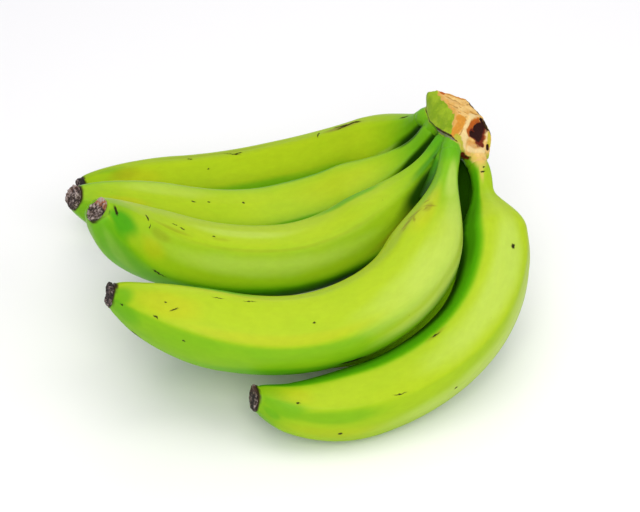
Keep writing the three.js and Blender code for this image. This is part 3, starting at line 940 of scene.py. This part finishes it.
        # Torn fibres stand up in wavy lines, the smooth cut is only dimpled, and the rot has sunk in.
        direction = np.array(TORN_DIRECTION)
        wavy = points + 1.8 * noise_at(points, 3, 15)[:, None]
        drawn = wavy - (wavy @ direction)[:, None] * direction * 0.8
        fibres = noise_at(drawn, 2.0, 5) + 0.5 * noise_at(drawn, 0.9, 8)
        # Painted shade in the grooves between the torn fibres.
        between = torn * 0.6 * smooth(0.1, 0.5, -fibres) * (1 - standing)
        values["streak"] = np.maximum(values["streak"], between)
        lift = fibres * 0.3 * (torn + 0.5 * front) * (1 - standing)
        lift += noise_at(points, 4, 12) * 0.2
        lift -= values["rot"] * 1.3 + values["maroon"] * 0.5
        lift += values["lip"] * 0.4 + (values["cream"] - values["maroon"]).clip(0, 1) * 0.4
        return values, lift


# ---- Dried flowers ----


class LookOfFlowers(PropertyGroup):
    """Detail and colours of the dried flower remnants."""

    steps_round: IntProperty(name="Steps round", description="Points round each remnant", default=112)
    dark: colour_setting(name="Dark", description="Folds of the dried tissue", default="#1d1512")
    brown: colour_setting(name="Brown", description="Dried tissue", default="#4c3c34")
    grey: colour_setting(name="Grey", description="Weathered high spots", default="#a3948f")
    rust: colour_setting(name="Rust", description="Rusty spots", default="#b06a44")


# The remnant from the fruit outwards: radius and height above the finger's end, in millimetres, and how
# ragged. Its skin passes through them in FLOWER_RINGS rings of points.
FLOWER_OUTLINE = (
    (4.6, -1.5, 0), (5.1, -0.6, 0.1), (5.5, 0, 0.3), (5.7, 0.6, 0.7), (5.5, 1.2, 0.9), (5.4, 1.8, 1),
    (5.2, 2.3, 1), (4.7, 2.7, 1), (4.0, 2.5, 1), (3.3, 1.9, 0.9), (2.5, 1.5, 0.8), (1.9, 1.7, 0.8),
    (1.4, 2.3, 0.8), (0.8, 2.6, 0.5), (0.4, 2.6, 0.3),
)
FLOWER_RINGS = 64

# The six remnants, in the order of the fingers. The angle is in degrees round the spine.
#   stretch    lengthways and across
#   angle      of its length
#   rust       how rusty it is at one end
#   lean       degrees that it leans more than its finger's end, inwards and sideways
#   tall       its height, as a share of the outline's
#   weathered  how grey it is
#   rim        how far in millimetres it has scorched the skin, and below 0 not even the end face
COMMON_FLOWER = {"stretch": (1.0, 1.0), "angle": 0, "rust": 0.0, "lean": (0, 0), "tall": 1.0}
OWN_FLOWERS = (
    {"tall": 0.9, "weathered": 0.0, "rim": 0.8},
    {"stretch": (1.12, 0.9), "angle": 75, "rust": 0.1, "weathered": 1.0, "rim": 0.3},
    {"stretch": (1.06, 0.66), "angle": -19, "rust": 0.7, "weathered": 0.9, "rim": -1.2},
    {"stretch": (1.0, 0.85), "lean": (-9, 0), "tall": 0.75, "weathered": 0.1, "rim": 0.8},
    {"stretch": (0.98, 0.85), "angle": -40, "rust": 0.1, "tall": 0.45, "weathered": 0.3, "rim": 0.5},
    {"weathered": 0.5, "rim": 0.6},
)
FLOWERS = tuple({**COMMON_FLOWER, **own} for own in OWN_FLOWERS)


def flower_material(look):
    """Dried flower, withered on the plant: brittle tissue, black in its folds and grey where weathered."""
    material, tree, surface = new_material("Dried flower")
    place = add_node(tree, "TexCoord").outputs["Object"]
    height = add_node(tree, "Attribute", attribute_name="height").outputs["Fac"]
    rusty = add_node(tree, "Attribute", attribute_name="rusty").outputs["Fac"]
    # Flakes about a millimetre wide.
    flakes = {"Vector": place, "Scale": per_metre(1.1), "Detail": 4.0, "Roughness": 0.7}
    fine = add_node(tree, "TexNoise", flakes).outputs["Fac"]
    raised = add_node(tree, "Math", {0: height, 1: 0.35, 2: fine}, operation="MULTIPLY_ADD").outputs[0]
    brown = add_node(tree, "MapRange", {"Value": raised, "From Min": 0.36, "From Max": 0.5}).outputs[0]
    grey = add_node(tree, "MapRange", {"Value": raised, "From Min": 0.5, "From Max": 0.66}).outputs[0]
    colour = (*look.dark, 1.0)
    for amount, over in ((brown, look.brown), (rusty, look.rust), (grey, look.grey)):
        shades = {0: amount, 6: colour, 7: (*over, 1.0)}
        colour = add_node(tree, "Mix", shades, data_type="RGBA").outputs[2]
    bump = add_node(tree, "Bump", {"Height": fine, "Strength": 0.8, "Distance": 0.3 * MM})
    feed(surface, {"Base Color": colour, "Roughness": 0.9, "Normal": bump.outputs[0]})
    return material


class HAND_OT_flowers(Operator):
    """Builds the dried flower remnant at the tip of every finger"""

    bl_idname = "hand.flowers"
    bl_label = "Dried flowers"

    def execute(self, context):
        look = context.scene.hand_flowers
        material = flower_material(look)
        for index, finger in enumerate(FINGERS, 1):
            self.build(index, finger, look, material)
        return {"FINISHED"}

    def build(self, index, finger, look, material):
        """Builds the remnant of one finger, upright at first and then set on the finger's end."""
        spine = Spine(finger)
        flower = FLOWERS[index - 1]
        outline = np.array(FLOWER_OUTLINE)
        fine = np.linspace(0, len(outline) - 1, FLOWER_RINGS)
        radius, height, ragged = (np.interp(fine, np.arange(len(outline)), outline[:, k]) for k in range(3))
        around = look.steps_round
        turn = np.arange(around) * 2 * math.pi / around
        ring = np.stack([np.outer(radius, np.cos(turn)).ravel(), np.outer(radius, np.sin(turn)).ravel()], 1)
        flat = np.column_stack([ring, np.repeat(height, around)])
        rough = np.repeat(ragged, around)
        # Upright lobes about three millimetres wide, and crumbs of one millimetre.
        lobes = noise_at(flat * (1, 1, 0.25), 3.2, 20 + index)
        crumbs = noise_at(flat, 1.5, 40 + index) + 0.5 * noise_at(flat, 0.8, 60 + index)
        out = flat.copy()
        out[:, :2] *= (1 + rough * (0.12 * lobes + 0.08 * crumbs))[:, None]
        out[:, 2] += rough * (0.7 * lobes + 0.4 * crumbs)
        rusty = flower["rust"] * smooth(0.2, 0.7, out[:, 0] / 5 + 0.4 * crumbs) * smooth(0.3, 1, flat[:, 2])
        long, short = out[:, 0] * flower["stretch"][0], out[:, 1] * flower["stretch"][1]
        turned = math.radians(flower["angle"])
        cos, sin = math.cos(turned), math.sin(turned)
        end = np.array([spine.length + finger["longer"]])
        point, along, inside, beside = (part[0] for part in spine.frame_at(end))
        inwards, sideways = long * cos - short * sin, long * sin + short * cos
        leaning = [math.tan(math.radians(a + b)) for a, b in zip(flower["lean"], finger["end_lean"])]
        height = out[:, 2] * flower["tall"] - inwards * leaning[0] - sideways * leaning[1]
        points = point + np.outer(inwards, inside) + np.outer(sideways, beside) + np.outer(height, along)
        values = {"height": lobes * 0.6 + crumbs * 0.6 + flower["weathered"] * 0.4 - 0.4, "rusty": rusty}
        name = f"flower_remnant_{index}"
        mesh = mesh_of(name, points, ring_faces(FLOWER_RINGS, around))
        new_piece(name, mesh, values, material, [f"blossom_end_{index}"])


# ---- Studio ----


class Studio(PropertyGroup):
    """The pale table, the soft light and the camera."""

    elevation: FloatProperty(
        name="Camera elevation", description="Above the horizon", default=math.radians(38), subtype="ANGLE"
    )
    distance: FloatProperty(
        name="Camera distance", description="From the middle of view", default=0.9, unit="LENGTH"
    )
    lens: FloatProperty(name="Lens", description="Focal length", default=101.25, unit="CAMERA")
    top_power: FloatProperty(name="Top power", description="Soft light overhead", default=4.8, unit="POWER")
    front_power: FloatProperty(name="Front power", description="Light in front", default=6.6, unit="POWER")
    back_power: FloatProperty(name="Back power", description="Soft light behind", default=2.4, unit="POWER")
    right_power: FloatProperty(name="Right power", description="Light at right", default=2.0, unit="POWER")
    fill: FloatProperty(name="Fill", description="Light of the pale room", default=0.455, min=0.0)
    table: colour_setting(name="Table", description="Pale table top", default="#f4f4f2")


# The point that the camera and the lamps face, and half the width of the table, in metres.
VIEW_TARGET = Vector((0.015, -0.004, 0.0397))
TABLE_HALF = 4.0
# Each lamp's name, place and width in metres, and the setting that holds its power.
LAMPS = (
    ("top_light", (0, -0.1, 1.2), 1.0, "top_power"),
    ("front_light", (0, -0.9, 0.8), 0.8, "front_power"),
    ("back_light", (0, 0.9, 0.8), 0.8, "back_power"),
    ("right_light", (0.85, -0.35, 0.7), 0.8, "right_power"),
)
# The lamps are a little warm. The room is a little cool, against the green light that the fruit throws on
# the table.
LAMP_COLOUR, ROOM_COLOUR = (1.0, 1.0, 0.82), (1.02, 1.0, 1.33, 1)


def table_material(studio):
    """Matt white laminate: an even, pale board with a hint of mottling."""
    material, tree, surface = new_material("Matt white laminate")
    place = add_node(tree, "TexCoord").outputs["Object"]
    clouds = {"Vector": place, "Scale": per_metre(400), "Detail": 2.0}
    tone = add_node(tree, "TexNoise", clouds).outputs["Fac"]
    pale = (*studio.table, 1.0)
    paler = tuple(min(1.0, c * 1.02) for c in studio.table) + (1.0,)
    colour = add_node(tree, "Mix", {0: tone, 6: pale, 7: paler}, data_type="RGBA").outputs[2]
    feed(surface, {"Base Color": colour, "Roughness": 0.7, "Specular IOR Level": 0.2})
    return material


class HAND_OT_stage(Operator):
    """Sets the pale table, the soft lights and the camera"""

    bl_idname = "hand.stage"
    bl_label = "Stage"

    def execute(self, context):
        scene, studio = context.scene, context.scene.hand_studio
        half = TABLE_HALF / MM
        corners = ((-half, -half, 0), (half, -half, 0), (half, half, 0), (-half, half, 0))
        mesh = mesh_of("table_top", corners, [(0, 1, 2, 3)])
        mesh.materials.append(table_material(studio))
        table = bpy.data.objects.new("table_top", mesh)
        scene.collection.objects.link(table)

        for name, place, size, power in LAMPS:
            self.add_light(name, place, size, getattr(studio, power))

        world = bpy.data.worlds.new("Pale room")
        world.use_nodes = True
        background = world.node_tree.nodes["Background"]
        background.inputs["Color"].default_value = ROOM_COLOUR
        background.inputs["Strength"].default_value = studio.fill
        scene.world = world
        scene.view_settings.view_transform = "Standard"

        camera = bpy.data.objects.new("camera", bpy.data.cameras.new("camera"))
        scene.collection.objects.link(camera)
        camera.data.sensor_width = 36
        camera.data.lens = studio.lens
        camera.data.clip_start, camera.data.clip_end = 0.01, 20
        back = Vector((0, -math.cos(studio.elevation), math.sin(studio.elevation)))
        camera.location = VIEW_TARGET + back * studio.distance
        camera.rotation_euler = (-back).to_track_quat("-Z", "Y").to_euler()
        scene.camera = camera
        return {"FINISHED"}

    def add_light(self, name, place, size, power):
        """Adds a round soft lamp that faces the middle of view."""
        light = bpy.data.lights.new(name, "AREA")
        light.shape, light.size, light.energy = "DISK", size, power
        light.color = LAMP_COLOUR
        lamp = bpy.data.objects.new(name, light)
        lamp.location = place
        lamp.rotation_euler = (Vector(place) - VIEW_TARGET).to_track_quat("Z", "Y").to_euler()
        bpy.context.scene.collection.objects.link(lamp)


class HAND_PT_sidebar(Panel):
    """Lists the steps that build the hand"""

    bl_idname = "HAND_PT_sidebar"
    bl_label = "Banana Hand"
    bl_space_type = "VIEW_3D"
    bl_region_type = "UI"
    bl_category = "Banana Hand"

    def draw(self, context):
        for step in STEPS:
            self.layout.operator(step.bl_idname)
        for name in SETTINGS:
            box = self.layout.box()
            group = getattr(context.scene, name)
            for key in group.bl_rna.properties.keys():
                if key not in {"rna_type", "name"}:
                    box.prop(group, key)


STEPS = (HAND_OT_stage, HAND_OT_crown, HAND_OT_fingers, HAND_OT_flowers)
SETTINGS = {
    "hand_fingers": SizesOfFingers,
    "hand_rind": ColoursOfRind,
    "hand_crown": LookOfCrown,
    "hand_flowers": LookOfFlowers,
    "hand_studio": Studio,
}


def register():
    for group in SETTINGS.values():
        bpy.utils.register_class(group)
    for step in STEPS:
        bpy.utils.register_class(step)
    bpy.utils.register_class(HAND_PT_sidebar)
    for name, group in SETTINGS.items():
        setattr(bpy.types.Scene, name, PointerProperty(type=group))


def unregister():
    for name in SETTINGS:
        delattr(bpy.types.Scene, name)
    bpy.utils.unregister_class(HAND_PT_sidebar)
    for step in reversed(STEPS):
        bpy.utils.unregister_class(step)
    for group in reversed(list(SETTINGS.values())):
        bpy.utils.unregister_class(group)


def main():
    register()
    bpy.ops.hand.stage()
    bpy.ops.hand.crown()
    bpy.ops.hand.fingers()
    bpy.ops.hand.flowers()


if __name__ == "__main__":
    main()
